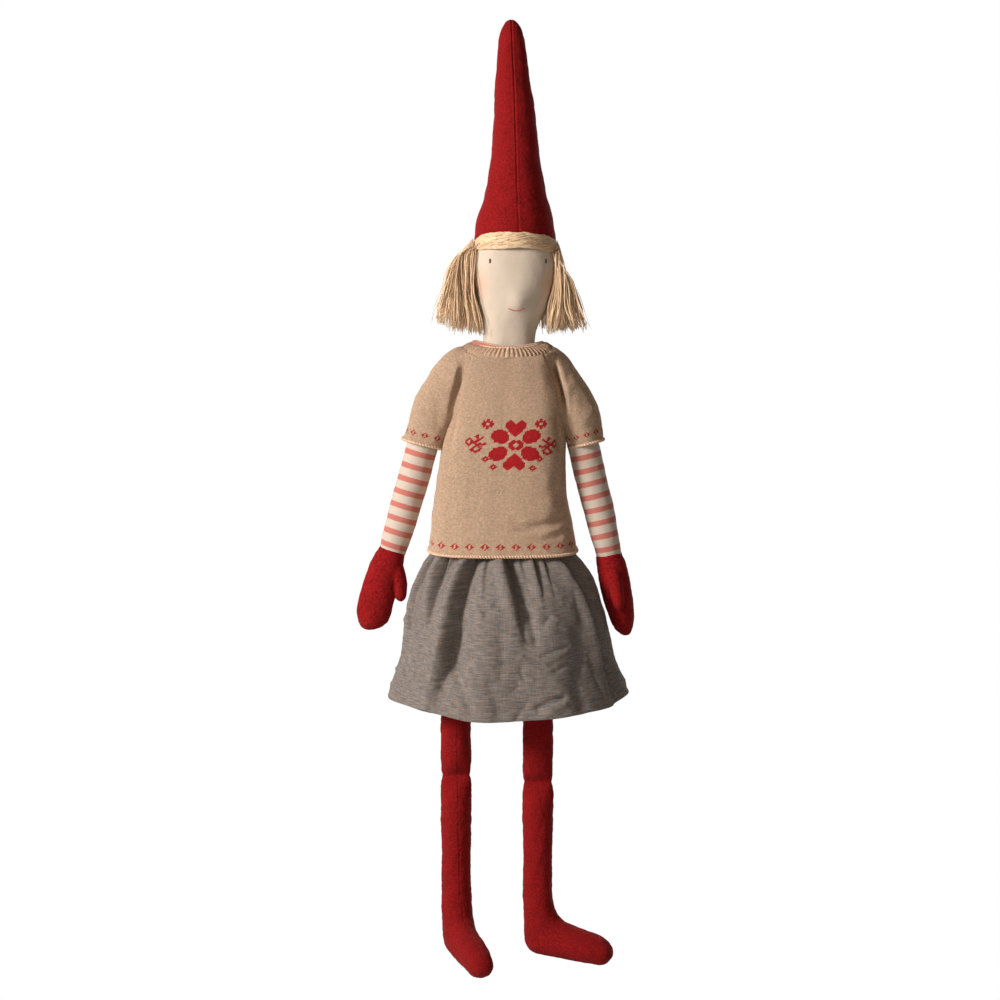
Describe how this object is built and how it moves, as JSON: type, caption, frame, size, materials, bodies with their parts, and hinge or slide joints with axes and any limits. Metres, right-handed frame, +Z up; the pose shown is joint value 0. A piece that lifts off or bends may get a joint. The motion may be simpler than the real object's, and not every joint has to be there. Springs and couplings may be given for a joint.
{
  "type": "stuffed tomte doll",
  "caption": "Long-legged stuffed cloth gnome doll with tall pointed hat, yarn hair, knitted sweater, gathered skirt and limp sewn limbs that sit on a doll stand.",
  "frame": {"origin": "middle of the flat seat under the body, between the thighs", "axes": "+Z up, from the seat towards the hat's tip; the doll faces -Y; its own right hand is at -X"},
  "size_m": [0.3148, 0.1958, 1.0581],
  "materials": {
    "striped_jersey": "cream cotton jersey with dusty red stripes",
    "muslin": "cream cotton muslin with blushed cheeks",
    "red_wool": "deep red woven wool",
    "knit": "fine tan knit with a dark red pattern",
    "linen": "grey-brown slubby linen, gathered",
    "yarn": "blond flax yarn",
    "stuffing": "loose wadding",
    "tape": "cotton tape",
    "elastic": "woven elastic",
    "eye_thread": "dark blue embroidery thread",
    "mouth_thread": "red embroidery thread"
  },
  "bodies": {
    "torso": {"torso_cover": "striped_jersey", "torso_stuffing": "stuffing", "neck_plug": "stuffing", "sweater_body": "knit", "sweater_neckband": "knit", "skirt_waistband": "linen", "waist_elastic": "elastic", "skirt_front_panel": "linen", "skirt_back_panel": "linen"},
    "head": {"head_cover": "muslin", "head_stuffing": "stuffing", "hat": "red_wool", "hat_stuffing": "stuffing", "hair_right": "yarn", "hair_left": "yarn", "hair_back": "yarn", "fringe": "yarn", "right_eye": "eye_thread", "left_eye": "eye_thread", "mouth": "mouth_thread"},
    "right_shoulder": {"right_shoulder_tab": "tape"},
    "right_arm": {"right_arm_cover": "striped_jersey", "right_arm_stuffing": "stuffing", "right_mitten": "red_wool", "right_mitten_stuffing": "stuffing", "right_sleeve": "knit"},
    "left_shoulder": {"left_shoulder_tab": "tape"},
    "left_arm": {"left_arm_cover": "striped_jersey", "left_arm_stuffing": "stuffing", "left_mitten": "red_wool", "left_mitten_stuffing": "stuffing", "left_sleeve": "knit"},
    "hip": {"hip_tape": "tape"},
    "right_thigh": {"right_thigh_cover": "red_wool", "right_thigh_stuffing": "stuffing"},
    "right_shin": {"right_stocking_cover": "red_wool", "right_shin_stuffing": "stuffing"},
    "left_thigh": {"left_thigh_cover": "red_wool", "left_thigh_stuffing": "stuffing"},
    "left_shin": {"left_stocking_cover": "red_wool", "left_shin_stuffing": "stuffing"}
  },
  "joints": [
    {"name": "neck_nod", "type": "hinge", "parent": "torso", "child": "head", "pos_m": [0.013, 0, 0.314], "axis": [1, 0, 0], "range_deg": [-12, 22], "stiffness_Nm_per_rad": 3},
    {"name": "sit_fold", "type": "hinge", "parent": "torso", "child": "hip", "pos_m": [0, 0, 0.02], "axis": [-1, 0, 0], "range_deg": [0, 90], "deforming": ["skirt_front_panel", "skirt_back_panel"]},
    {"name": "right_shoulder_swing", "type": "hinge", "parent": "torso", "child": "right_shoulder", "pos_m": [-0.065, -0.004, 0.252], "axis": [-1, 0, 0], "range_deg": [-50, 150]},
    {"name": "right_arm_lift", "type": "hinge", "parent": "right_shoulder", "child": "right_arm", "pos_m": [-0.065, -0.004, 0.252], "axis": [0, 1, 0], "range_deg": [0, 75], "deforming": ["right_sleeve"]},
    {"name": "left_shoulder_swing", "type": "hinge", "parent": "torso", "child": "left_shoulder", "pos_m": [0.082, -0.004, 0.252], "axis": [-1, 0, 0], "range_deg": [-50, 150]},
    {"name": "left_arm_lift", "type": "hinge", "parent": "left_shoulder", "child": "left_arm", "pos_m": [0.082, -0.004, 0.252], "axis": [0, -1, 0], "range_deg": [0, 75], "deforming": ["left_sleeve"]},
    {"name": "right_leg_swing", "type": "hinge", "parent": "hip", "child": "right_thigh", "pos_m": [-0.047, 0, 0.02], "axis": [-1, 0, 0], "range_deg": [-25, 25]},
    {"name": "right_knee_bend", "type": "hinge", "parent": "right_thigh", "child": "right_shin", "pos_m": [-0.047, 0, -0.18], "axis": [1, 0, 0], "range_deg": [-25, 105]},
    {"name": "left_leg_swing", "type": "hinge", "parent": "hip", "child": "left_thigh", "pos_m": [0.047, 0, 0.02], "axis": [-1, 0, 0], "range_deg": [-25, 25]},
    {"name": "left_knee_bend", "type": "hinge", "parent": "left_thigh", "child": "left_shin", "pos_m": [0.047, 0, -0.188], "axis": [1, 0, 0], "range_deg": [-25, 105]}
  ]
}
